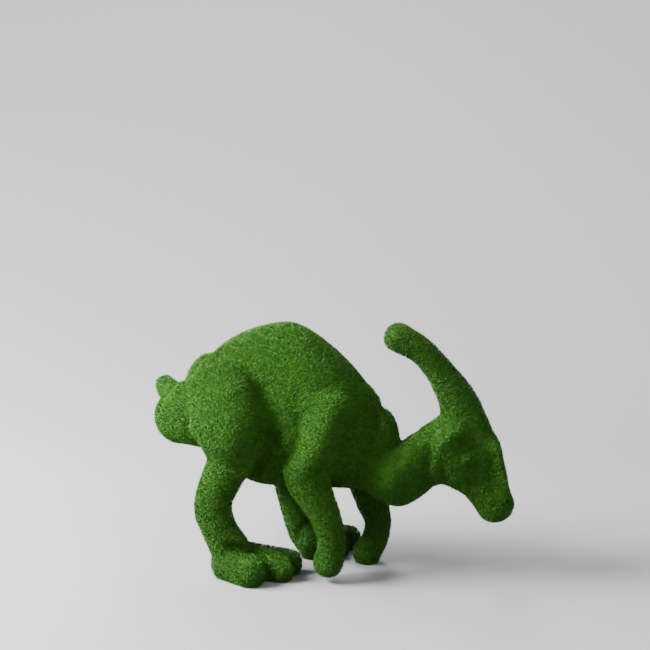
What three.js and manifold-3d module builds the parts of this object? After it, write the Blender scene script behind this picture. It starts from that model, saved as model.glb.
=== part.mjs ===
// A duck-billed, crested dinosaur covered in artificial grass, grazing on all fours.
// Millimetres, +Z up. The head points along +X and the figure's left side faces +Y.
// Each part of the body is one mass: a smooth core with tufts of grass standing out of it.
// The masses meet with a hair of clearance, and the flat soles stand on the ground at z = 0.
import * as THREE from 'three';
import { mergeVertices } from 'three/addons/utils/BufferGeometryUtils.js';
import Module from 'manifold-3d';

const wasm = await Module();
wasm.setup();

// Driving dimensions.
const PILE = 9;             // how far the grass stands out of each core
const GAP = 0.35;           // clearance between neighbouring masses
const TUFT_SPACING = 50;    // between tufts, along and around a limb
const TUFT_ROOT = 6;        // how deep a tuft is sunk in its core
const TUFT_RADIUS = 8;      // of a tuft's root
const TUFT_LEAN = 6;        // how far a tuft's tip may lean to one side
const TUFT_CLEARANCE = 15;  // from a tuft to any neighbouring core
const GROUND_MARGIN = 14;   // lowest root of a tuft
const DOME_STEPS = 3;       // rings that round off each end of a limb
const JITTER = 0.3;         // share of a step that a tuft may stray from its place
const SEED = 20;

// Where each mass lies. A limb is a row of stations along its middle line, and a station is
// [x, y, z, half width, half depth] of the outline over the grass. The width is measured along
// `across`, which is the figure's left-right line unless a limb says otherwise. Sections are square
// to the middle line, or to `squareTo` where a limb gives it.
const LEFT = new THREE.Vector3(0, 1, 0);
const UP = new THREE.Vector3(0, 0, 1);

const BODY = {
  torso: {
    rings: 14, sides: 22, tone: 'back', squareTo: new THREE.Vector3(0.97, 0, -0.243),
    stations: [
      [-350, 0, 608, 72, 122],    // rump
      [-290, 0, 598, 116, 196],   // root of the tail
      [-200, 0, 583, 144, 256],   // hips
      [-99, 0, 564, 154, 285],    // top of the arched back
      [20, 0, 530, 172, 252],     // ribs
      [130, 0, 486, 144, 203],    // shoulders
      [228, 0, 432, 87, 146],     // chest
    ],
  },
  neck: {
    rings: 9, sides: 18, tone: 'flank', squareTo: new THREE.Vector3(1, 0, 0),
    stations: [
      [215, 0, 395, 96, 108],
      [275, 0, 362, 98, 113],
      [335, 0, 349, 93, 107],     // lowest part of its sag
      [395, 2, 395, 80, 120],
      [440, 5, 431, 68, 114],     // nape
    ],
  },
  head: {
    rings: 9, sides: 18, tone: 'shade',
    stations: [
      [485, 10, 477, 84, 104],    // crown
      [542, 20, 414, 88, 124],    // eyes and jaw
      [590, 30, 347, 72, 90],     // cheeks
      [617, 37, 292, 60, 70],     // bill
      [636, 41, 253, 57, 65],     // tip of the bill
    ],
  },
  crest_base: {
    rings: 7, sides: 14, tone: 'shade',
    stations: [
      [550, 18, 460, 54, 94],
      [511, 5, 607, 48, 66],
      [441, -10, 722, 43, 45],
    ],
  },
  crest_tip: {
    rings: 6, sides: 14, tone: 'flank',
    stations: [
      [453, -8, 706, 44, 48],
      [391, -18, 772, 43, 46],
      [317, -28, 814, 46, 51],
    ],
  },
  right_thigh: {
    rings: 8, sides: 18, tone: 'back',
    stations: [
      [-258, -102, 644, 86, 120],
      [-208, -146, 519, 92, 152],
      [-210, -150, 388, 64, 74],
    ],
  },
  left_thigh: {
    rings: 8, sides: 18, tone: 'back',
    stations: [
      [-191, 95, 608, 70, 100],
      [-122, 122, 447, 85, 120],
      [-72, 134, 297, 60, 78],
    ],
  },
  tail_base: {
    rings: 6, sides: 16, tone: 'back', across: UP,
    stations: [
      [-290, 0, 534, 156, 118],
      [-370, -8, 520, 125, 106],
      [-445, 20, 495, 97, 93],
    ],
  },
  tail_tip: {
    rings: 8, sides: 14, tone: 'back', across: UP,
    stations: [
      [-465, 65, 488, 72, 80],
      [-500, 145, 512, 54, 56],
      [-585, 240, 548, 40, 38],
    ],
  },
  right_shank: {
    rings: 7, sides: 14, tone: 'flank',
    stations: [
      [-212, -148, 407, 62, 75],
      [-270, -150, 275, 54, 66],
      [-276, -150, 215, 53, 66],  // hock
    ],
  },
  right_foot: {
    rings: 5, sides: 14, tone: 'flank',
    stations: [
      [-276, -150, 215, 53, 66],
      [-252, -150, 155, 52, 63],
      [-215, -150, 92, 54, 71],   // above the toes
    ],
  },
  left_shank: {
    rings: 7, sides: 14, tone: 'flank',
    stations: [
      [-82, 134, 315, 60, 84],
      [-52, 138, 146, 50, 70],
      [-32, 138, 75, 50, 66],
    ],
  },
  right_upper_arm: {
    rings: 7, sides: 16, tone: 'flank',
    stations: [
      [110, -104, 586, 72, 88],
      [84, -140, 481, 66, 68],
      [28, -145, 373, 58, 64],    // elbow
    ],
  },
  left_upper_arm: {
    rings: 7, sides: 14, tone: 'shade',
    stations: [
      [185, 80, 458, 66, 100],
      [185, 98, 344, 54, 85],
      [204, 106, 240, 47, 65],
    ],
  },
  right_forearm: {
    rings: 7, sides: 14, tone: 'flank',
    stations: [
      [44, -142, 350, 58, 74],
      [100, -129, 235, 48, 53],
      [119, -121, 168, 46, 48],   // wrist
    ],
  },
  right_hand: {
    rings: 5, sides: 14, tone: 'flank',
    stations: [
      [119, -121, 168, 46, 48],
      [119, -118, 115, 47, 48],
      [109, -117, 64, 50, 52],    // held just off the ground
    ],
  },
  left_forearm: {
    rings: 4, sides: 14, tone: 'shade',
    stations: [
      [208, 106, 215, 46, 60],
      [232, 104, 148, 44, 46],    // wrist
    ],
  },
  left_hand: {
    rings: 6, sides: 14, tone: 'shade',
    stations: [
      [232, 104, 148, 44, 46],
      [221, 103, 90, 46, 47],
      [191, 100, 29, 48, 50],     // on the ground
    ],
  },
};

// Three toes to a foot: [root of the toe] and [its ball], as stations. The ground cuts their soles flat.
const TOES = {
  right_toe_outer: [[-230, -154, 50, 54, 66], [-130, -204, 39, 50, 60]],
  right_toe_middle: [[-186, -138, 51, 48, 60], [-44, -137, 35, 44, 54]],
  right_toe_inner: [[-181, -100, 56, 42, 54], [-30, -72, 35, 40, 50]],
  left_toe_inner: [[-24, 118, 58, 50, 52], [0, 96, 46, 52, 58]],
  left_toe_middle: [[-18, 136, 56, 48, 52], [80, 128, 33, 46, 53]],
  left_toe_outer: [[-10, 160, 51, 48, 54], [104, 218, 34, 42, 51]],
};
for (const [name, stations] of Object.entries(TOES)) {
  BODY[name] = { rings: 4, sides: 14, tone: 'flank', stations };
}

const TONES = { back: '#497c25', flank: '#396a1d', shade: '#28500f' };

// A repeatable stream of numbers from 0 to 1.
function seeded(seed) {
  let state = seed;
  return () => {
    state = (state + 0x6d2b79f5) | 0;
    let t = Math.imul(state ^ (state >>> 15), 1 | state);
    t = (t + Math.imul(t ^ (t >>> 7), 61 | t)) ^ t;
    return ((t ^ (t >>> 14)) >>> 0) / 2 ** 32;
  };
}

// The station at t on the smooth curve through all stations; t counts stations from 0.
function stationAt(stations, t) {
  const i = Math.min(Math.floor(t), stations.length - 2);
  const s = t - i;
  const before = stations[i - 1] ?? stations[i].map((v, k) => 2 * v - stations[i + 1][k]);
  const after = stations[i + 2] ?? stations[i + 1].map((v, k) => 2 * v - stations[i][k]);
  return stations[i].map((b, k) => {
    const a = before[k];
    const c = stations[i + 1][k];
    const d = after[k];
    const bend = 2 * a - 5 * b + 4 * c - d;
    const twist = 3 * b - 3 * c + d - a;
    return b + ((c - a) * s + bend * s ** 2 + twist * s ** 3) / 2;
  });
}

// The elliptical rings of a limb, from pole to pole, with every radius changed by `grow`.
function ringsOf({ stations, rings, across = LEFT, squareTo }, grow) {
  const rows = Array.from({ length: rings }, (_, i) => {
    return stationAt(stations, (i / (rings - 1)) * (stations.length - 1));
  });
  const centres = rows.map(([x, y, z]) => new THREE.Vector3(x, y, z));
  const list = rows.map((row, i) => {
    const ahead = centres[Math.min(i + 1, rings - 1)];
    const behind = centres[Math.max(i - 1, 0)];
    const along = (squareTo ?? new THREE.Vector3().subVectors(ahead, behind)).clone().normalize();
    const side = across.clone().addScaledVector(along, -across.dot(along)).normalize();
    const top = new THREE.Vector3().crossVectors(along, side);
    return { centre: centres[i], along, side, top, wide: row[3] + grow, deep: row[4] + grow };
  });
  const dome = (end, direction) => {
    const reach = Math.min(end.wide, end.deep) * direction;
    return Array.from({ length: DOME_STEPS }, (_, k) => {
      const angle = ((k + 1) / DOME_STEPS) * (Math.PI / 2);
      return {
        ...end,
        centre: end.centre.clone().addScaledVector(end.along, reach * Math.sin(angle)),
        wide: end.wide * Math.cos(angle),
        deep: end.deep * Math.cos(angle),
      };
    });
  };
  return [...dome(list[0], -1).reverse(), ...list, ...dome(list[rings - 1], 1)];
}

// The point of a ring at an angle round it.
function pointOn(ring, angle) {
  return ring.centre.clone()
    .addScaledVector(ring.side, ring.wide * Math.cos(angle))
    .addScaledVector(ring.top, ring.deep * Math.sin(angle));
}

// A closed skin over rings whose first and last are poles.
function skin(rings, sides) {
  const inner = rings.slice(1, -1);
  const points = inner.flatMap((ring) => {
    return Array.from({ length: sides }, (_, j) => pointOn(ring, (j / sides) * 2 * Math.PI));
  });
  const first = points.length;
  const last = first + 1;
  points.push(rings[0].centre, rings[rings.length - 1].centre);
  const faces = [];
  for (let j = 0; j < sides; j += 1) {
    const next = (j + 1) % sides;
    for (let i = 0; i < inner.length - 1; i += 1) {
      const a = i * sides;
      const b = a + sides;
      faces.push(a + j, a + next, b + next, a + j, b + next, b + j);
    }
    const end = (inner.length - 1) * sides;
    faces.push(first, next, j, last, end + j, end + next);
  }
  const geometry = new THREE.BufferGeometry().setFromPoints(points);
  geometry.setIndex(faces);
  return geometry;
}

// A three-sided spike from a root triangle to a tip.
function spike(root, tip, radius, turn) {
  const along = new THREE.Vector3().subVectors(tip, root).normalize();
  const aside = Math.abs(along.z) < 0.8 ? UP : LEFT;
  const u = new THREE.Vector3().crossVectors(along, aside).normalize();
  const v = new THREE.Vector3().crossVectors(along, u);
  const corners = [0, 1, 2].map((k) => {
    const angle = turn + (k / 3) * 2 * Math.PI;
    return root.clone()
      .addScaledVector(u, radius * Math.cos(angle))
      .addScaledVector(v, radius * Math.sin(angle));
  });
  const geometry = new THREE.BufferGeometry().setFromPoints([...corners, tip]);
  geometry.setIndex([0, 1, 3, 1, 2, 3, 2, 0, 3, 2, 1, 0]);
  return geometry;
}

function toSolid(geometry) {
  const bare = geometry.clone();
  bare.deleteAttribute('normal');
  bare.deleteAttribute('uv');
  const merged = mergeVertices(bare);
  return new wasm.Manifold(new wasm.Mesh({
    numProp: 3,
    vertProperties: new Float32Array(merged.attributes.position.array),
    triVerts: new Uint32Array(merged.index.array),
  }));
}

function toGeometry(solid) {
  const mesh = solid.getMesh();
  const geometry = new THREE.BufferGeometry();
  geometry.setAttribute('position', new THREE.BufferAttribute(new Float32Array(mesh.vertProperties), 3));
  geometry.setIndex(new THREE.BufferAttribute(new Uint32Array(mesh.triVerts), 1));
  return geometry;
}

// The piece of a geometry with the most faces, without the scraps that a cut leaves beside it.
function mainPiece(geometry) {
  const index = geometry.index.array;
  const parent = Array.from({ length: geometry.attributes.position.count }, (_, i) => i);
  const rootOf = (i) => {
    let r = i;
    while (parent[r] !== r) {
      parent[r] = parent[parent[r]];
      r = parent[r];
    }
    return r;
  };
  for (let f = 0; f < index.length; f += 3) {
    parent[rootOf(index[f + 1])] = rootOf(index[f]);
    parent[rootOf(index[f + 2])] = rootOf(index[f]);
  }
  const pieces = new Map();
  for (let f = 0; f < index.length; f += 3) {
    const key = rootOf(index[f]);
    pieces.set(key, [...(pieces.get(key) ?? []), index[f], index[f + 1], index[f + 2]]);
  }
  const kept = [...pieces.values()].sort((a, b) => b.length - a.length)[0];
  const piece = geometry.clone();
  piece.setIndex(kept);
  return piece;
}

// Whether two solids share any space.
function touches(one, other) {
  return one.intersect(other).getMesh().triVerts.length > 0;
}

// Tufts spread evenly over a limb's core, one to each step along and around it.
// A tuft stands square to the slope between the points a nudge to either side of its foot.
function tuftsOn(rings, keepOut, random) {
  const tufts = [];
  const nudge = 0.1;
  const at = (t, angle) => {
    const i = Math.min(Math.floor(t), rings.length - 2);
    return pointOn(rings[i], angle).lerp(pointOn(rings[i + 1], angle), t - i);
  };
  let walked = TUFT_SPACING / 2;
  for (let i = 0; i < rings.length - 1; i += 1) {
    const stretch = pointOn(rings[i], Math.PI / 4).distanceTo(pointOn(rings[i + 1], Math.PI / 4));
    while (walked < stretch) {
      const t = i + walked / stretch;
      const width = at(t, 0).distanceTo(at(t, Math.PI));
      const depth = at(t, Math.PI / 2).distanceTo(at(t, -Math.PI / 2));
      const count = Math.max(1, Math.round((Math.PI * (width + depth)) / 2 / TUFT_SPACING));
      const phase = random();
      for (let j = 0; j < count; j += 1) {
        const angle = ((j + phase + JITTER * (random() - 0.5)) / count) * 2 * Math.PI;
        const shift = JITTER * (random() - 0.5) * (TUFT_SPACING / stretch);
        const place = THREE.MathUtils.clamp(t + shift, nudge, rings.length - 1 - nudge);
        const foot = at(place, angle);
        const along = at(place + nudge, angle).sub(at(place - nudge, angle));
        const around = at(place, angle + nudge).sub(at(place, angle - nudge));
        const out = new THREE.Vector3().crossVectors(around, along).normalize();
        const lean = new THREE.Vector3(random() - 0.5, random() - 0.5, random() - 0.5);
        lean.multiplyScalar(2 * TUFT_LEAN).addScaledVector(out, -lean.dot(out));
        const tip = foot.clone().addScaledVector(out, PILE).add(lean);
        const turn = random() * 2 * Math.PI;
        const root = foot.clone().addScaledVector(out, -TUFT_ROOT);
        const tuft = toSolid(spike(root, tip, TUFT_RADIUS, turn));
        const high = Math.min(foot.z, tip.z) > GROUND_MARGIN;
        if (high && !keepOut.some((other) => touches(tuft, other))) {
          tufts.push(tuft);
        }
      }
      walked += TUFT_SPACING;
    }
    walked -= stretch;
  }
  return tufts;
}

// Everything above the ground.
const ROOM = 2000;
const room = new THREE.BoxGeometry(ROOM, ROOM, ROOM).translate(0, 0, ROOM / 2);
const aboveGround = toSolid(room);

// The core of a limb as a solid, with every side moved out by `grow`.
function coreOf(limb, grow) {
  return toSolid(skin(ringsOf(limb, grow - PILE), limb.sides));
}

const random = seeded(SEED);
const figure = new THREE.Group();
const limbs = Object.entries(BODY);
const tuftFree = new Map(limbs.map(([name, limb]) => [name, coreOf(limb, TUFT_CLEARANCE)]));
const done = [];
for (const [name, limb] of limbs) {
  let solid = coreOf(limb, 0);
  for (const earlier of done) {
    solid = solid.subtract(coreOf(earlier, GAP));
  }
  solid = toSolid(mainPiece(toGeometry(solid)));
  const keepOut = [...tuftFree].filter(([other]) => other !== name).map(([, core]) => core);
  for (const tuft of tuftsOn(ringsOf(limb, -PILE), keepOut, random)) {
    solid = solid.add(tuft);
  }
  const mesh = new THREE.Mesh(
    mainPiece(toGeometry(solid.intersect(aboveGround))),
    new THREE.MeshStandardMaterial({ color: TONES[limb.tone], roughness: 0.95, metalness: 0 }),
  );
  mesh.name = name;
  figure.add(mesh);
  done.push(limb);
}

// The origin is under the middle of the figure's box, on the ground.
const middle = new THREE.Box3().setFromObject(figure).getCenter(new THREE.Vector3());
figure.position.set(-middle.x, -middle.y, 0);

export default figure;
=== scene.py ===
# %% [markdown]
# # A grass-covered dinosaur for the garden
# The figure is a duck-billed dinosaur with a long crest, bent down to graze. The real one is a
# moulded shell with a steel armature, and a carpet of artificial grass is glued over all of it.
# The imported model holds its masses. This lesson lays one continuous grass carpet over them, with
# every blade a real surface.

import bpy
import numpy as np
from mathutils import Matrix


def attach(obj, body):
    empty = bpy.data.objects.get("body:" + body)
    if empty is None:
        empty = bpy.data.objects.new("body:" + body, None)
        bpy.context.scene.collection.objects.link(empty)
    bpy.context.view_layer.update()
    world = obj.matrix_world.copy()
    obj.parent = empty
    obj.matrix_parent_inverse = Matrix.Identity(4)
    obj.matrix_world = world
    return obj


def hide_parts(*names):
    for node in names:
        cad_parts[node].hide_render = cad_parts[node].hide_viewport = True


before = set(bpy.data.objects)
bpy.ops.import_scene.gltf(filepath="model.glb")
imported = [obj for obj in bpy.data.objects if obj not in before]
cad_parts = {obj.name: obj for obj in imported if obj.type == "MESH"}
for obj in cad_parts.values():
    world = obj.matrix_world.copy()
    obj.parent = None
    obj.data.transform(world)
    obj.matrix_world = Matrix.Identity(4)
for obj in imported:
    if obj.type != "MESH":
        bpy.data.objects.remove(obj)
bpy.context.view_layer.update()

# %% [markdown]
# ## Units, colours and nodes
# The stations of the body are written in millimetres, as its maker would measure them. Colours are
# written as they look on a screen, so one function turns them into the linear light that Blender
# works with. One more adds a shader node, with its settings and what feeds it.

# %% Helpers for units, colours and nodes
MM = 0.001
GROUND_MIDDLE = np.array([-39.42, -11.59, 0.0])  # where the frame has the body's own origin, in mm
MIX_FROM = 6             # a Mix node's colour sockets, which go by number because names repeat in it
MIX_TO = 7
MIX_RESULT = 2


def in_frame(points):
    """Points of the body's own frame in millimetres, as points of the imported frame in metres."""
    return (np.asarray(points, float) + GROUND_MIDDLE) * MM


def linear(hex_colour):
    """An sRGB colour such as '#497c25' as linear red, green, blue and alpha."""
    screen = np.array([int(hex_colour[k:k + 2], 16) for k in (1, 3, 5)]) / 255
    light = np.where(screen <= 0.04045, screen / 12.92, ((screen + 0.055) / 1.055) ** 2.4)
    return (*light, 1.0)


def add_node(tree, kind, sockets, **settings):
    """Adds one node. A socket, by name or number, takes a plain value or another node's output."""
    made = tree.nodes.new(kind)
    for name, value in settings.items():
        setattr(made, name, value)
    for name, value in sockets.items():
        if isinstance(value, bpy.types.NodeSocket):
            tree.links.new(value, made.inputs[name])
        else:
            made.inputs[name].default_value = value
    return made


def new_material(name):
    """An empty node material and its output node."""
    material = bpy.data.materials.new(name)
    material.use_nodes = True
    material.node_tree.nodes.clear()
    output = material.node_tree.nodes.new("ShaderNodeOutputMaterial")
    return material, output


# %% [markdown]
# ## Camera
# The photograph was taken from four and a half metres away and from about eye height, with a lens
# that sees a narrow angle. A long lens keeps the near foot and the far foot nearly the same size.

# %% Camera
CAMERA_PLACE = (1.0856, -4.2102, 1.6087)
CAMERA_YAW = 14.119      # degrees to the left of straight ahead
CAMERA_DROP = 10.100     # degrees below level
CAMERA_LENS = 74.27      # mm, on a sensor of full size
SENSOR_WIDTH = 36

camera_data = bpy.data.cameras.new("camera")
camera_data.sensor_width = SENSOR_WIDTH
camera_data.lens = CAMERA_LENS
camera = bpy.data.objects.new("camera", camera_data)
camera.location = CAMERA_PLACE
camera.rotation_euler = np.radians([90 - CAMERA_DROP, 0, CAMERA_YAW])
bpy.context.scene.collection.objects.link(camera)
bpy.context.scene.camera = camera
print("camera", round(float(np.linalg.norm(CAMERA_PLACE)), 2), "metres from the frame's origin")

# %% [markdown]
# ## Studio
# The stage is a wide, shallow bowl of matt board: a flat floor that curves up all round into a wall,
# which stands outside the camera. It has no corner, so the background is one soft gradient from
# every side. It could be a plane and a wall, but a wall would hide the figure from behind.

# %% Studio bowl
HOLE_RADIUS = 0.001      # metres: the turned profile leaves a pinhole in the middle of the floor
INNER_RADIUS = 1.0
FLOOR_RADIUS = 2.0
BEND_RADIUS = 4.0
BEND_STEPS = 24
WALL_TOP = 7.0
STAGE_SIDES = 128
BOARD_COLOUR = "#757576"


def mesh_from(name, points, faces, smooth=True):
    """A mesh object at the origin from an array of points and one of faces, all with as many corners."""
    mesh = bpy.data.meshes.new(name)
    count, corners = faces.shape
    mesh.vertices.add(len(points))
    mesh.vertices.foreach_set("co", np.asarray(points, np.float32).ravel())
    mesh.loops.add(count * corners)
    mesh.loops.foreach_set("vertex_index", faces.astype(np.int32).ravel())
    mesh.polygons.add(count)
    mesh.polygons.foreach_set("loop_start", np.arange(count, dtype=np.int32) * corners)
    mesh.polygons.foreach_set("use_smooth", np.full(count, smooth))
    mesh.update(calc_edges=True)
    mesh.validate()
    made = bpy.data.objects.new(name, mesh)
    bpy.context.scene.collection.objects.link(made)
    return made


def grid_faces(rows, columns):
    """Quads of a grid that closes on itself along its columns, as indices row by row."""
    row, column = np.meshgrid(np.arange(rows - 1), np.arange(columns), indexing="ij")
    after = (column + 1) % columns
    corners = [row * columns + column, row * columns + after]
    corners += [(row + 1) * columns + after, (row + 1) * columns + column]
    return np.stack(corners, -1).reshape(-1, 4)


def bowl():
    """The bowl's profile turned round the vertical axis.

    The profile runs flat from the middle, then along a quarter circle, then straight up.
    """
    bend = np.radians(np.linspace(0, 90, BEND_STEPS))
    bend_radius = FLOOR_RADIUS + BEND_RADIUS * np.sin(bend)
    radius = np.r_[HOLE_RADIUS, INNER_RADIUS, bend_radius, FLOOR_RADIUS + BEND_RADIUS]
    height = np.r_[0.0, 0.0, BEND_RADIUS * (1 - np.cos(bend)), WALL_TOP]
    turn = np.linspace(0, 2 * np.pi, STAGE_SIDES, endpoint=False)
    x = radius[:, None] * np.cos(turn)
    y = radius[:, None] * np.sin(turn)
    z = np.broadcast_to(height[:, None], x.shape)
    points = np.stack([x, y, z], -1).reshape(-1, 3)
    return mesh_from("studio_floor", points, grid_faces(len(radius), STAGE_SIDES))


# Board under matt emulsion paint: one even tone, with hardly any gloss.
board, board_output = new_material("matt_painted_board")
board_shader = add_node(board.node_tree, "ShaderNodeBsdfPrincipled", {
    "Base Color": linear(BOARD_COLOUR), "Roughness": 0.9, "Specular IOR Level": 0.2,
})
board.node_tree.links.new(board_shader.outputs["BSDF"], board_output.inputs["Surface"])

floor = bowl()
floor.data.materials.append(board)
print("studio bowl,", len(floor.data.polygons), "quads")

# %% [markdown]
# ## Light
# Four wide soft lights stand round the figure. The key and the side light come from the left, from
# behind the tail. They make the rump and the back bright, and leave the chest, the face and the
# belly dark. The back light touches the far side, and a weak front light keeps the shadows open.
# The world's even light stands for all that a white studio sends back.

# %% Light
LIGHTS = [
    # name, side in degrees round the figure from its head, height above the floor in degrees,
    # distance and size in metres, power in watts
    ("key", -153, 36, 5.2, 2.5, 1880),
    ("side", -172, 32, 5.2, 2.0, 980),
    ("back", 110, 50, 6.5, 2.6, 600),
    ("front", -30, 45, 6.5, 2.6, 160),
]
WORLD_STRENGTH = 1.7
WORLD_COLOUR = "#f4f4f6"
AIM = np.array([0, 0, 0.4])  # metres: the middle of the figure, which the lights look at


def soft_light(name, side, height, distance, size, power):
    """A round soft light that looks at the figure from a side and a height given in degrees."""
    side, height = np.radians([side, height])
    way = np.array([np.cos(height) * np.cos(side), np.cos(height) * np.sin(side), np.sin(height)])
    data = bpy.data.lights.new(name, "AREA")
    data.shape = "DISK"
    data.size = size
    data.energy = power
    light = bpy.data.objects.new(name, data)
    light.location = way * distance + AIM
    light.rotation_euler = (np.pi / 2 - height, 0, side + np.pi / 2)
    bpy.context.scene.collection.objects.link(light)


for light in LIGHTS:
    soft_light(*light)

world = bpy.data.worlds.new("studio")
world.use_nodes = True
background = world.node_tree.nodes["Background"]
background.inputs["Color"].default_value = linear(WORLD_COLOUR)
background.inputs["Strength"].default_value = WORLD_STRENGTH
bpy.context.scene.world = world
print("lights:", *(name for name, *_ in LIGHTS))

# %% [markdown]
# ## The body's masses
# The body is measured as a row of oval sections along the middle of each limb, as in the packed
# model. A station is x, y, z, half width and half depth in millimetres. The sections are joined by
# a smooth curve, which is the usual way to loft a hull or a limb, and each end is rounded off.

# %% Stations of the body
LEFT = (0, 1, 0)
UP = (0, 0, 1)

BODY = {
    "torso": [(-350, 0, 608, 72, 122), (-290, 0, 598, 116, 196), (-200, 0, 583, 144, 256),
              (-99, 0, 564, 154, 285), (20, 0, 530, 172, 252), (130, 0, 486, 144, 203),
              (228, 0, 432, 87, 146)],
    "neck": [(215, 0, 395, 96, 108), (275, 0, 362, 98, 113), (335, 0, 349, 93, 107),
             (395, 2, 395, 80, 120), (440, 5, 431, 68, 114)],
    "head": [(485, 10, 477, 84, 104), (542, 20, 414, 88, 124), (590, 30, 347, 72, 90),
             (617, 37, 292, 60, 70), (636, 41, 253, 57, 65)],
    "crest_base": [(550, 18, 460, 54, 94), (511, 5, 607, 48, 66), (441, -10, 722, 43, 45)],
    "crest_tip": [(453, -8, 706, 44, 48), (391, -18, 772, 43, 46), (317, -28, 814, 46, 51)],
    "right_thigh": [(-258, -102, 644, 86, 120), (-208, -146, 519, 92, 152), (-210, -150, 388, 64, 74)],
    "left_thigh": [(-191, 95, 608, 70, 100), (-122, 122, 447, 85, 120), (-72, 134, 297, 60, 78)],
    "tail_base": [(-290, 0, 534, 156, 118), (-370, -8, 520, 125, 106), (-445, 20, 495, 97, 93)],
    "tail_tip": [(-465, 65, 488, 72, 80), (-500, 145, 512, 54, 56), (-585, 240, 548, 40, 38)],
    "right_shank": [(-212, -148, 407, 62, 75), (-270, -150, 275, 54, 66), (-276, -150, 215, 53, 66)],
    "right_foot": [(-276, -150, 215, 53, 66), (-252, -150, 155, 52, 63), (-215, -150, 92, 54, 71)],
    "left_shank": [(-82, 134, 315, 60, 84), (-52, 138, 146, 50, 70), (-32, 138, 75, 50, 66)],
    "right_upper_arm": [(110, -104, 586, 72, 88), (84, -140, 481, 66, 68), (28, -145, 373, 58, 64)],
    "left_upper_arm": [(185, 80, 458, 66, 100), (185, 98, 344, 54, 85), (204, 106, 240, 47, 65)],
    "right_forearm": [(44, -142, 350, 58, 74), (100, -129, 235, 48, 53), (119, -121, 168, 46, 48)],
    "right_hand": [(119, -121, 168, 46, 48), (119, -118, 115, 47, 48), (109, -117, 64, 50, 52)],
    "left_forearm": [(208, 106, 215, 46, 60), (232, 104, 148, 44, 46)],
    "left_hand": [(232, 104, 148, 44, 46), (221, 103, 90, 46, 47), (191, 100, 29, 48, 50)],
    "right_toe_outer": [(-230, -154, 50, 54, 66), (-130, -204, 39, 50, 60)],
    "right_toe_middle": [(-186, -138, 51, 48, 60), (-44, -137, 35, 44, 54)],
    "right_toe_inner": [(-181, -100, 56, 42, 54), (-30, -72, 35, 40, 50)],
    "left_toe_inner": [(-24, 118, 58, 50, 52), (0, 96, 46, 52, 58)],
    "left_toe_middle": [(-18, 136, 56, 48, 52), (80, 128, 33, 46, 53)],
    "left_toe_outer": [(-10, 160, 51, 48, 54), (104, 218, 34, 42, 51)],
}
ACROSS = {"tail_base": UP, "tail_tip": UP}                       # what the width is measured along
SQUARE_TO = {"torso": (0.97, 0, -0.243), "neck": (1, 0, 0)}      # where all sections lie parallel
assert set(BODY) == set(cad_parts), "each mass of the packed model is clad"

# %% [markdown]
# ## Lofting a limb
# Along the limb every number of a station follows one smooth curve, and round the limb each
# section is an oval. So a limb is a function of two parameters, the way along and the angle round,
# and the whole grid of points comes out of one formula. The rounded ends are quarter ovals.

# %% Lofted limbs
RINGS = 33
SIDES = 48
END_RINGS = 8


def along_curve(stations, count):
    """Stations at even steps along the smooth curve through the given ones.

    Between two stations b and c, with a before and d after them, the curve at share s is the
    Catmull-Rom cubic: b + ((c - a)s + (2a - 5b + 4c - d)s^2 + (3b - 3c + d - a)s^3) / 2.
    Past either end the row goes on as its mirror image.
    """
    rows = np.asarray(stations, float)
    rows = np.vstack([2 * rows[0] - rows[1], rows, 2 * rows[-1] - rows[-2]])
    place = np.linspace(0, len(rows) - 3, count)
    first = np.minimum(place.astype(int), len(rows) - 4)
    share = (place - first)[:, None]
    a, b, c, d = (rows[first + k] for k in range(4))
    curve = (c - a) * share + (2 * a - 5 * b + 4 * c - d) * share ** 2
    return b + (curve + (3 * b - 3 * c + d - a) * share ** 3) / 2


def limb_grid(name):
    """Points of a limb's skin, ring by ring from pole to pole, in millimetres.

    A ring is centre + side * width * cos(angle) + top * depth * sin(angle). Over an end, the centre
    moves out by sin(k) of the smaller radius and both radii shrink by cos(k), for k up to 90 degrees.
    """
    rows = along_curve(BODY[name], RINGS)
    centre, width, depth = rows[:, :3], rows[:, 3], rows[:, 4]
    way = np.gradient(centre, axis=0)
    if name in SQUARE_TO:
        way[:] = SQUARE_TO[name]
    way /= np.linalg.norm(way, axis=1)[:, None]
    bend = np.linspace(0, np.pi / 2, END_RINGS + 1)[1:]
    end_before, end_after = bend[::-1], bend
    reach = np.minimum(width, depth)
    push = np.r_[-reach[0] * np.sin(end_before), np.zeros(RINGS), reach[-1] * np.sin(end_after)]
    shrink = np.r_[np.cos(end_before), np.ones(RINGS), np.cos(end_after)]
    ring = np.clip(np.arange(-END_RINGS, RINGS + END_RINGS), 0, RINGS - 1)
    centre = centre[ring] + way[ring] * push[:, None]
    across = np.array(ACROSS.get(name, LEFT), float)
    side = across - (way[ring] @ across)[:, None] * way[ring]
    side /= np.linalg.norm(side, axis=1)[:, None]
    top = np.cross(way[ring], side)
    angle = np.linspace(0, 2 * np.pi, SIDES, endpoint=False)
    wide = side[:, None] * (width[ring] * shrink)[:, None, None] * np.cos(angle)[:, None]
    deep = top[:, None] * (depth[ring] * shrink)[:, None, None] * np.sin(angle)[:, None]
    return centre[:, None] + wide + deep


def all_limbs():
    """Every limb's grid in one array of points and one of quads."""
    grids = [in_frame(limb_grid(name)).reshape(-1, 3) for name in BODY]
    quads = grid_faces(RINGS + 2 * END_RINGS, SIDES)
    starts = np.cumsum([0] + [len(grid) for grid in grids[:-1]])
    return np.vstack(grids), np.vstack([quads + start for start in starts])


limbs = mesh_from("body", *all_limbs())
print("lofted", len(BODY), "masses,", len(limbs.data.polygons), "quads")

# %% [markdown]
# ## One skin over all masses
# The real shell is one moulding, and its carpet runs on from the body into each limb. A voxel remesh
# fuses the overlapping masses into one closed skin of even quads. The ground cuts the soles flat.

# %% Fuse the masses
SKIN_STEP = 5.8 * MM


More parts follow.
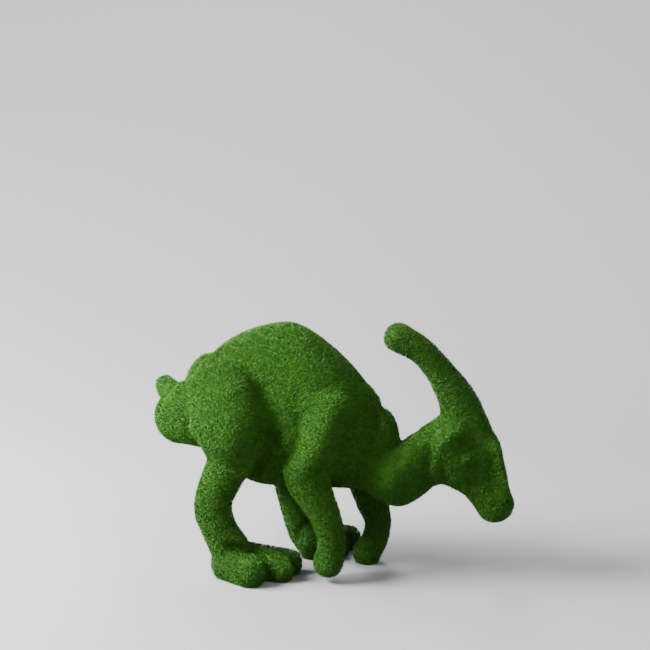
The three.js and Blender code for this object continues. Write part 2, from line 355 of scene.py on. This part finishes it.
def remeshed(source, step):
    """Points and quads of a closed skin round everything that the source object encloses."""
    modifier = source.modifiers.new("fuse", "REMESH")
    modifier.mode = "VOXEL"
    modifier.voxel_size = step
    evaluated = source.evaluated_get(bpy.context.evaluated_depsgraph_get())
    mesh = evaluated.to_mesh()
    points = np.empty(len(mesh.vertices) * 3, np.float32)
    mesh.vertices.foreach_get("co", points)
    quads = np.empty(len(mesh.loops), np.int32)
    mesh.loops.foreach_get("vertex_index", quads)
    corners = len(mesh.loops) // len(mesh.polygons)
    evaluated.to_mesh_clear()
    return points.reshape(-1, 3).astype(float), quads.reshape(-1, corners)


points, quads = remeshed(limbs, SKIN_STEP)
bpy.data.objects.remove(limbs)
print("fused skin", len(points), "points,", quads.shape, "quads")

# %% [markdown]
# ## Soft creases
# Where two masses meet, the remesh leaves a sharp crease, and a carpet can't follow one. The creases
# are filled by letting each point move out towards the mean of its neighbours, and never in. That
# leaves the round parts as they are, while plain smoothing would make the limbs thinner. Only two
# rounds of it follow, which take off the steps of the voxels.

# %% Fill the creases
CREASE_ROUNDS = 3
SMOOTH_ROUNDS = 2
SMOOTH_SHARE = 0.5       # of the way to the neighbours' mean, in one round

edges = np.vstack([quads[:, [k, (k + 1) % 4]] for k in range(4)])
edge_from = np.r_[edges[:, 0], edges[:, 1]]
edge_to = np.r_[edges[:, 1], edges[:, 0]]
edge_count = np.bincount(edge_from, minlength=len(points))[:, None]


def neighbour_mean(values):
    """For every point of the skin, the mean of the values at the points that an edge joins it to."""
    total = [np.bincount(edge_from, values[edge_to, k], len(values)) for k in range(values.shape[1])]
    return np.stack(total, -1) / edge_count


def unit(vectors):
    """The same directions with length 1."""
    return vectors / np.maximum(np.linalg.norm(vectors, axis=-1, keepdims=True), 1e-12)


def normals_of(places):
    """The outward normal at each point: the mean of its quads' normals, weighted by their size."""
    a, b, c, d = (places[quads[:, k]] for k in range(4))
    quad_normal = np.cross(c - a, d - b)
    total = [np.bincount(quads.ravel(), np.repeat(quad_normal[:, k], 4), len(places)) for k in range(3)]
    return unit(np.stack(total, -1))


def smoothed(places, share):
    """Each place moved by a share of the way to the mean of its neighbours."""
    return places + share * (neighbour_mean(places) - places)


for _ in range(CREASE_ROUNDS):
    outward = normals_of(points)
    pull = ((neighbour_mean(points) - points) * outward).sum(1)
    points = points + SMOOTH_SHARE * np.clip(pull, 0, None)[:, None] * outward
for _ in range(SMOOTH_ROUNDS):
    points = smoothed(points, SMOOTH_SHARE)
points[:, 2] = np.maximum(points[:, 2], 0)
print("smoothed skin up to", round(points[:, 2].max(), 3), "metres above the floor")

# %% [markdown]
# ## Which mass a point belongs to
# The grass is made in pieces, one or two for each region, so each point needs to know its mass. It is
# the one whose middle line is nearest, counted in that mass's own radii.

# %% Nearest mass
AXIS_STEPS = 9           # points along the middle line of each mass
PLACES_AT_ONCE = 5000    # compared in one go, to keep the arrays small

names = list(BODY)
axis_points = np.vstack([along_curve(BODY[name], AXIS_STEPS) for name in names])
axis_mass = np.repeat(np.arange(len(names)), AXIS_STEPS)


def nearest_mass(places):
    """The number of the mass whose middle line is nearest to each place, in that mass's own radii."""
    middle, radius = in_frame(axis_points[:, :3]), axis_points[:, 3:].mean(1) * MM
    best = np.empty(len(places), int)
    for part in np.array_split(np.arange(len(places)), 1 + len(places) // PLACES_AT_ONCE):
        gap = np.linalg.norm(places[part, None] - middle, axis=2) / radius
        best[part] = axis_mass[gap.argmin(1)]
    return best


print(len(axis_points), "points on the middle lines")

# %% [markdown]
# ## Creases and swellings
# The shell was modelled with the folds that a heavy animal has: a deep one before the thigh, one
# under the neck, a ridge round the jaw, an eye under its brow. Each is a line along the skin that
# is raised or sunk, most at the line itself and less and less away from it. It could be sculpted
# by hand, but a line of a few points is quick to move. The lines were drawn over the
# photograph, and their places on the skin were worked out from there, outside this script.

# %% Relief lines
RELIEF = [
    # name, mirror plane, height and reach in mm, and points x, y, z along the line
    ("thigh", None, 14, 48, (-200, -207, 630), (-182, -223, 589), (-176, -234, 545), (-185, -236, 480)),
    ("thigh front, wide", None, -24, 36,
     (-116, -152, 623), (-99, -164, 587), (-85, -168, 549), (-85, -161, 500)),
    ("thigh front, deep", None, -12, 13,
     (-145, -135, 670), (-119, -145, 634), (-92, -164, 593), (-76, -167, 542), (-69, -158, 487)),
    ("thigh on belly", None, -12, 12,
     (-64, -158, 480), (-89, -147, 437), (-117, -123, 387), (-144, -91, 338)),
    ("behind the shoulder", "body", -9, 22, (18, -152, 650), (5, -167, 587), (-4, -171, 521)),
    ("upper arm", None, 9, 42, (132, -188, 580), (117, -204, 531), (94, -214, 467), (61, -216, 419)),
    ("rear edge of the arm", None, -13, 15,
     (25, -169, 572), (20, -174, 504), (8, -180, 460), (-24, -166, 417)),
    ("front edge of the arm", None, -12, 24, (177, -136, 540), (163, -125, 467), (149, -104, 387)),
    ("elbow", None, -14, 9, (-12, -171, 341), (44, -190, 347), (90, -175, 343), (120, -137, 331)),
    ("under the neck", "body", -15, 20, (248, -60, 549), (228, -90, 482), (208, -96, 416), (187, -78, 342)),
    ("neck", "body", 28, 45, (359, -67, 445), (336, -84, 408), (313, -99, 364)),
    ("front of the shoulder", None, 12, 24, (222, -3, 628), (248, 3, 590)),
    ("before the far shoulder", None, -11, 11, (255, 18, 582), (294, -25, 544), (312, -30, 493)),
    ("behind the jaw", "head", -14, 13, (435, -55, 453), (423, -60, 407), (414, -53, 354)),
    ("jaw, wide", "head", 8, 40, (458, -71, 413), (472, -85, 471), (509, -77, 510)),
    ("edge of the jaw", "head", 15, 16,
     (445, -65, 373), (445, -72, 419), (463, -85, 473), (494, -83, 508), (524, -70, 530)),
    ("hollow of the face", "head", -22, 50, (567, -48, 460), (584, -48, 409), (590, -38, 360)),
    ("eye", "head", 26, 12, (555, -72, 432)),
    ("brow", "head", 6, 11, (536, -64, 529), (572, -45, 506), (605, -44, 475)),
    ("behind the bridge", "head", -12, 14,
     (620, -32, 440), (626, -28, 399), (630, -22, 358), (620, -17, 316)),
    ("bridge", "head", 21, 18, (641, -26, 466), (658, -15, 405), (668, -10, 344), (672, -9, 297)),
    ("inside the outer toe", None, -21, 12,
     (-208, -201, 122), (-169, -185, 118), (-133, -168, 97), (-86, -190, 77), (-76, -180, 20)),
    ("outside the inner toe", None, -17, 11,
     (-104, -94, 100), (-56, -112, 87), (-13, -130, 70), (2, -118, 30)),
    ("knee", None, -6, 14, (-271, -207, 430), (-219, -220, 416), (-176, -209, 394), (-150, -172, 357)),
    ("root of the tail tip", None, -10, 12, (-490, -10, 574), (-448, -25, 605), (-415, -25, 631)),
    ("loin", None, 12, 38, (-296, -121, 723), (-277, -60, 738), (-230, -67, 766), (-182, -65, 791)),
    ("root of the tail", None, 10, 18, (-437, -16, 612), (-365, -128, 642)),
    ("tail behind the hip", None, -10, 14,
     (-408, -68, 615), (-395, -95, 575), (-358, -155, 532), (-314, -200, 488)),
    ("edge of the thigh", None, 15, 12,
     (-98, -173, 480), (-118, -182, 443), (-137, -189, 407), (-157, -180, 369)),
    ("between hip and back", None, 14, 18, (-290, -100, 737), (-270, -78, 747)),
    ("far toe's root", None, -13, 9, (-50, 74, 61), (-45, 88, 96), (-28, 91, 123), (-5, 92, 130)),
    ("far toe", None, 9, 16, (-23, 82, 97), (-10, 47, 59)),
    ("far heel", None, 10, 16, (-78, 98, 91), (-70, 91, 58)),
    ("outer toe's ridge", None, 8, 9,
     (-193, -185, 110), (-162, -163, 102), (-120, -202, 97), (-95, -215, 77), (-83, -220, 43)),
    ("middle toe's ridge", None, 8, 9,
     (-116, -123, 98), (-84, -129, 94), (-43, -149, 86), (-17, -155, 64), (-4, -153, 32)),
    ("valley by the outer toe", None, -11, 8,
     (-125, -148, 99), (-97, -165, 80), (-77, -171, 49), (-72, -167, 17)),
    ("valley by the middle toe", None, -11, 7,
     (-78, -89, 88), (-35, -134, 85), (-14, -108, 60), (-2, -98, 30)),
]
print(len(RELIEF), "relief lines")

# %% [markdown]
# ## Raising and sinking the skin
# The trunk's two sides are alike, and so are the head's, but the head is turned. So a line that has
# a mirror plane counts on both sides of it. The rest lie where the pose differs from side to side,
# on the limbs, the shoulders, the loin and the tail, or where one side is enough for the view.

# %% Raise and sink the skin
HEAD_YAW = np.radians(11)  # the head is turned a little to its own left
MIRROR = {
    # a point of the plane, and the direction square to it
    "body": (np.zeros(3), np.array([0, 1, 0])),
    "head": (np.array([485, 10, 0]), np.array([-np.sin(HEAD_YAW), np.cos(HEAD_YAW), 0])),
}
RELIEF_SMOOTH_SHARE = 0.3


def gap_to_line(places, line):
    """Distance from each place to the nearest point of a line of straight pieces.

    The nearest point of the piece from a to b is a + share * (b - a), with the share of
    (place - a) along (b - a) kept between 0 and 1.
    """
    best = np.linalg.norm(places - line[0], axis=1)
    for a, b in zip(line[:-1], line[1:]):
        share = np.clip((places - a) @ (b - a) / ((b - a) @ (b - a)), 0, 1)[:, None]
        best = np.minimum(best, np.linalg.norm(places - a - share * (b - a), axis=1))
    return best


def relief_height(places):
    """How far the skin stands out at each place in mm: the sum of height * exp(-(gap / reach)^2)."""
    total = np.zeros(len(places))
    for _, plane, height, reach, *line in RELIEF:
        line = np.array(line, float)
        gap = gap_to_line(places, line)
        if plane:
            middle, square = MIRROR[plane]
            other = line - 2 * ((line - middle) @ square)[:, None] * square
            gap = np.minimum(gap, gap_to_line(places, other))
        total += height * np.exp(-(gap / reach) ** 2)
    return total


outward = normals_of(points)
relief = relief_height(points / MM - GROUND_MIDDLE)
points = points + outward * relief[:, None] * MM
points[:, 2] = np.maximum(points[:, 2], 0)
points = smoothed(points, RELIEF_SMOOTH_SHARE)
outward = normals_of(points)
print("relief from", round(relief.min(), 1), "to", round(relief.max(), 1), "mm")
print("box of the grass tips", np.round(points.min(0), 3), np.round(points.max(0), 3))

# %% [markdown]
# ## Backing of the carpet
# The points so far are where the tips of the grass reach. The carpet's woven backing lies one pile
# length further in, apart from the flat soles, which have no grass and lie on the floor.

# %% Carpet backing
PILE = 10 * MM
SOLE_CLEARANCE = 0.4 * MM
SOLE_EDGE = 4 * MM       # above the floor, over which the pile grows to its full length
BACKING_ROUNDS = 2
BACKING_SMOOTH_SHARE = 0.4

sole = np.clip(1 - points[:, 2] / SOLE_EDGE, 0, 1)
inward = outward * PILE
inward[:, 2] *= 1 - sole
backing_points = points - inward
backing_points[:, 2] = np.maximum(backing_points[:, 2], SOLE_CLEARANCE)
for _ in range(BACKING_ROUNDS):
    backing_points = smoothed(backing_points, BACKING_SMOOTH_SHARE)
backing_points[:, 2] = np.maximum(backing_points[:, 2], SOLE_CLEARANCE)

# %% Backing cloth
WEAVE_SIZE = 3 * MM
WEAVE_DEPTH = 1 * MM
CLOTH_DARK = "#1d3a10"
CLOTH_LIGHT = "#2c5518"

# Woven polypropylene, dyed green: dull, and a little uneven where the threads cross.
backing_cloth, cloth_output = new_material("woven_polypropylene_backing")
tree = backing_cloth.node_tree
coordinates = add_node(tree, "ShaderNodeTexCoord", {})
weave = add_node(tree, "ShaderNodeTexNoise", {
    "Vector": coordinates.outputs["Object"], "Scale": 1 / WEAVE_SIZE, "Detail": 3.0,
})
cloth_colour = add_node(tree, "ShaderNodeMix", {
    "Factor": weave.outputs["Fac"], MIX_FROM: linear(CLOTH_DARK), MIX_TO: linear(CLOTH_LIGHT),
}, data_type="RGBA")
cloth_bump = add_node(tree, "ShaderNodeBump", {
    "Height": weave.outputs["Fac"], "Strength": 0.5, "Distance": WEAVE_DEPTH,
})
cloth_shader = add_node(tree, "ShaderNodeBsdfPrincipled", {
    "Base Color": cloth_colour.outputs[MIX_RESULT], "Normal": cloth_bump.outputs["Normal"],
    "Roughness": 0.9, "Specular IOR Level": 0.2,
})
tree.links.new(cloth_shader.outputs["BSDF"], cloth_output.inputs["Surface"])

backing = mesh_from("turf_backing", backing_points, quads)
backing.data.materials.append(backing_cloth)
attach(backing, "root")
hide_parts(*BODY)
print("backing", len(backing_points), "points")

# %% [markdown]
# ## Greens of the grass
# Artificial grass is thin polyethylene film, cut into blades. A maker mixes a few greens so that it
# looks alive, and each has its own material here. One material could vary its colour from place to
# place instead, but then the blades of a tuft wouldn't be of one film.

# %% Greens of the grass
DRIFT_SIZE = 6 * MM      # over which a green drifts
GREENS = [
    # light and dark screen colour, share of the tufts
    ("fresh", "#336513", "#2e5b11", 0.25),
    ("leaf", "#2e5a11", "#295110", 0.35),
    ("deep", "#2a530f", "#264b0e", 0.25),
    ("shade", "#254a0e", "#20410c", 0.15),
]


def grass_material(name, light, dark):
    """Polyethylene film: soft and waxy with hardly any gloss, in a green that drifts a little."""
    material, output = new_material("polyethylene_grass_" + name)
    tree = material.node_tree
    coordinates = add_node(tree, "ShaderNodeTexCoord", {})
    drift = add_node(tree, "ShaderNodeTexNoise", {
        "Vector": coordinates.outputs["Object"], "Scale": 1 / DRIFT_SIZE, "Detail": 2.0,
    })
    colour = add_node(tree, "ShaderNodeMix", {
        "Factor": drift.outputs["Fac"], MIX_FROM: linear(dark), MIX_TO: linear(light),
    }, data_type="RGBA")
    shader = add_node(tree, "ShaderNodeBsdfPrincipled", {
        "Base Color": colour.outputs[MIX_RESULT], "Roughness": 0.6, "IOR": 1.5,
        "Specular IOR Level": 0.1,
    })
    tree.links.new(shader.outputs["BSDF"], output.inputs["Surface"])
    return material


grass_materials = [grass_material(name, light, dark) for name, light, dark, _ in GREENS]
print(len(grass_materials), "greens")

# %% [markdown]
# ## Roots of the tufts
# The blades are tufted into the backing a few millimetres apart. A particle system would do it, but
# it is lost when the model leaves Blender. So the tufts are worked out as whole arrays, each with a
# place and the skin's normal there. The soles have none, because the figure stands on them.

# %% Scatter the tufts
TUFT_DENSITY = 35000  # tufts to the square metre
SOLE_FACING = -0.6       # a face is a sole's where its normal points down by more than this
SOLE_BELOW = 3 * MM      # and where it lies lower than this
SEED = 7

rng = np.random.default_rng(SEED)
triangles = np.stack([quads[:, [0, 1, 2]], quads[:, [0, 2, 3]]], 1).reshape(-1, 3)
corner = [backing_points[triangles[:, k]] for k in range(3)]
area = np.linalg.norm(np.cross(corner[1] - corner[0], corner[2] - corner[0]), axis=1) / 2
facing = outward[triangles].mean(1)[:, 2]
above_floor = backing_points[triangles].mean(1)[:, 2]
area = area * ~((facing < SOLE_FACING) & (above_floor < SOLE_BELOW))
print("grass covers", round(area.sum(), 3), "square metres")


def scatter(count):
    """Roots spread evenly over the grassy skin, with the skin's normal at each.

    The running total of the triangles' areas is cut into as many equal steps as there are roots,
    and a root falls at random within its step. In a triangle it is a random mix of the corners.
    """
    total = np.cumsum(area)
    step = (np.arange(count) + rng.random(count)) / count * total[-1]
    face = np.minimum(np.searchsorted(total, step), len(triangles) - 1)
    root = np.sqrt(rng.random(count))
    second = rng.random(count)
    shares = np.stack([1 - root, root * (1 - second), root * second], -1)[..., None]
    place = (backing_points[triangles[face]] * shares).sum(1)
    normal = unit((outward[triangles[face]] * shares).sum(1))
    return place, normal


tuft_count = int(area.sum() * TUFT_DENSITY)
tuft_place, tuft_normal = scatter(tuft_count)
tuft_mass = nearest_mass(tuft_place)
print(tuft_count, "tufts")

# %% [markdown]
# ## Nap, length and green of the tufts
# A carpet has a nap: neighbouring tufts lean over together, as wind waves run over a field. Smooth
# random fields give each tuft its lean, its length and its green, and a little chance is added, so
# that no pattern shows. Near the ground and on the crest the grass is a little darker: this is
# painted shade, dealt out as darker greens.

# %% Nap, length and green of the tufts
WAVE_SINES = 3           # sines in each number of a wave
WAVE_GAIN = 1.5          # brings most of a wave to between -1 and 1
NAP = [
    # how far the tufts lean over together, over what length, and the seed of the wave
    (0.15, 90 * MM, 1),
    (0.10, 25 * MM, 2),
]
NAP_STRAY = 0.22
NAP_DROOP = 0.10
LENGTH_WAVE = 0.04       # share of the blades' length that a wave adds or takes
LENGTH_STRAY = 0.05
LENGTH_DRIFT = 30 * MM
LENGTH_SEED = 3
GREEN_WAVE = 0.05        # share of the mix of greens that a wave moves
GREEN_DRIFT = 40 * MM
GREEN_SEED = 4
GREEN_END = 0.999        # just inside the mix's dark end
# Painted shade: the next five numbers deal darker greens near the floor and on the crest, standing in for
# shade.
PAINTED_SHADE_SHIFT = 0.35        # how far the mix moves to its dark end where the grass is darkest
PAINTED_SHADE_BELOW = 0.35        # metres above the floor, darker and darker towards it
CREST_SHADE_FORWARD = 0.2      # metres in front of the middle, beyond which the grass is the crest's
CREST_SHADE_ABOVE = 0.5        # metres above the floor, from which the crest's grass gets darker
CREST_SHADE_BLEND = 0.12


def wave(places, length, seed):
    """A smooth random field of three numbers, mostly from -1 to 1, that drifts over a wave length.

    Each number is a mean of sines of the place, each with its own direction and start.
    """
    draw = np.random.default_rng(seed)
    count = 3 * WAVE_SINES
    ways = unit(draw.normal(size=(count, 3))) * 2 * np.pi / length
    start = draw.random(count) * 2 * np.pi
    sines = np.sin(places @ ways.T + start).reshape(len(places), 3, WAVE_SINES)
    return sines.mean(2) * WAVE_GAIN


nap = sum(lean * wave(tuft_place, length, seed) for lean, length, seed in NAP)
nap += rng.normal(scale=NAP_STRAY, size=(tuft_count, 3))
nap[:, 2] -= NAP_DROOP

tuft_length = 1 + LENGTH_WAVE * wave(tuft_place, LENGTH_DRIFT, LENGTH_SEED)[:, 0]
tuft_length += rng.normal(scale=LENGTH_STRAY, size=tuft_count)

# Painted shade: the mix of greens moves to its dark end towards the floor and on the crest.
shade_near_ground = np.clip(1 - tuft_place[:, 2] / PAINTED_SHADE_BELOW, 0, 1)
shade_on_crest = np.clip((tuft_place[:, 2] - CREST_SHADE_ABOVE) / CREST_SHADE_BLEND, 0, 1)
shade_on_crest *= tuft_place[:, 0] > CREST_SHADE_FORWARD
green_draw = rng.random(tuft_count) + GREEN_WAVE * wave(tuft_place, GREEN_DRIFT, GREEN_SEED)[:, 0]
green_draw += PAINTED_SHADE_SHIFT * np.maximum(shade_near_ground, shade_on_crest)
green_share = np.cumsum([share for *_, share in GREENS])
tuft_green = np.searchsorted(green_share, np.clip(green_draw, 0, GREEN_END))
tuft_green = np.minimum(tuft_green, len(GREENS) - 1)
print("tufts of each green:", np.bincount(tuft_green))

# %% [markdown]
# ## Blades
# The film is slit into narrow blades, which fan out from the root of their tuft and bend over near
# the tip. At this distance a blade shows as a fleck of light, so two triangles are enough for it.
# Curved strips would look no better and cost several times as many.

# %% Grow the blades
BLADES_IN_TUFT = 8
BLADE_LENGTH = 12 * MM
BLADE_WIDTH = 1.2 * MM
BLADE_RANGE = (0.85, 1.1)  # shortest and longest, as a share of the tuft's length
TUFT_REACH = 2.2 * MM    # from a tuft's middle to its outermost roots
FAN_MIDDLE = 0.5         # how far the blades lean away from the tuft's middle, there
FAN_EDGE = 0.6           # and how much further at its edge
BLADE_STRAY = 0.12
BLADE_TWIST = 0.25
BEND_SHARE = 0.5         # of the blade's length lies below its bend
LEAN_BELOW = 0.35
LEAN_ABOVE = 1.0
UPRIGHT = 0.8            # a normal's height, beyond which the vertical is too near to it


def square_to(normals):
    """Two directions square to each normal and to each other."""
    aside = np.where(np.abs(normals[:, [2]]) < UPRIGHT, [UP], [LEFT])
    first = unit(np.cross(normals, aside))
    return first, np.cross(normals, first)


def grow(which):
    """Points and faces of the blades of the chosen tufts, and the green of each face.

    A blade is a kite folded at its bend: a point at the root, two corners at the bend and a tip, so
    it has two triangles. It starts along normal + lean * LEAN_BELOW, and past the bend it goes on
    along normal + lean * LEAN_ABOVE. Its flat side faces outwards, give or take a random twist.
    Its root lies within the tuft's reach, and the blades lean away from the tuft's middle.
    """
    count = len(which) * BLADES_IN_TUFT
    tuft = np.repeat(which, BLADES_IN_TUFT)
    normal = tuft_normal[tuft]
    first, second = square_to(normal)
    angle = rng.random(count) * 2 * np.pi
    away = first * np.cos(angle)[:, None] + second * np.sin(angle)[:, None]
    spread = np.sqrt(rng.random(count))[:, None]
    root = tuft_place[tuft] + away * spread * TUFT_REACH
    fan = away * (FAN_MIDDLE + FAN_EDGE * spread)
    lean = nap[tuft] + fan + rng.normal(scale=BLADE_STRAY, size=(count, 3))
    lean -= (lean * normal).sum(1, keepdims=True) * normal
    length = (BLADE_LENGTH * tuft_length[tuft] * rng.uniform(*BLADE_RANGE, count))[:, None]
    low_way = unit(normal + LEAN_BELOW * lean)
    high_way = unit(normal + LEAN_ABOVE * lean)
    flat = unit(np.cross(normal, lean)) + rng.normal(scale=BLADE_TWIST, size=(count, 3))
    flat = unit(flat - (flat * high_way).sum(1, keepdims=True) * high_way) * BLADE_WIDTH / 2
    bend = root + low_way * length * BEND_SHARE
    tip = bend + high_way * length * (1 - BEND_SHARE)
    corners = np.stack([root, bend - flat, bend + flat, tip], 1)
    corners[..., 2] = np.maximum(corners[..., 2], SOLE_CLEARANCE)
    kite = np.array([[0, 2, 1], [1, 2, 3]])
    faces = (np.arange(count)[:, None, None] * 4 + kite).reshape(-1, 3)
    return corners.reshape(-1, 3), faces, np.repeat(tuft_green[tuft], len(kite))


print(tuft_count * BLADES_IN_TUFT, "blades to grow")

# %% [markdown]
# ## Pieces of the carpet
# The carpet is cut to the parts of the body, as its fitter would cut it. A large part is split into
# pieces of fewer than 190,000 triangles, because other programs take smaller pieces more easily.

# %% Grass, region by region
REGIONS = {
    "head": ["head"],
    "crest": ["crest_base", "crest_tip"],
    "neck": ["neck"],
    "torso": ["torso"],
    "tail": ["tail_base", "tail_tip"],
    "right_leg": ["right_thigh", "right_shank", "right_foot"],
    "left_leg": ["left_thigh", "left_shank"],
    "feet": [name for name in BODY if "toe" in name],
    "right_arm": ["right_upper_arm", "right_forearm", "right_hand"],
    "left_arm": ["left_upper_arm", "left_forearm", "left_hand"],
}
MOST_FACES = 190_000
FACES_IN_BLADE = 2

most_tufts = MOST_FACES // (FACES_IN_BLADE * BLADES_IN_TUFT)
for region, members in REGIONS.items():
    chosen = np.flatnonzero(np.isin(tuft_mass, [names.index(name) for name in members]))
    parts = np.array_split(chosen, 1 + len(chosen) // most_tufts)
    for number, part in enumerate(parts, 1):
        piece_points, piece_faces, piece_greens = grow(part)
        piece = mesh_from(f"grass_{region}_{number}", piece_points, piece_faces, smooth=False)
        for material in grass_materials:
            piece.data.materials.append(material)
        piece.data.polygons.foreach_set("material_index", piece_greens.astype(np.int32))
        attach(piece, "root")
        print(piece.name, len(piece_faces), "triangles")
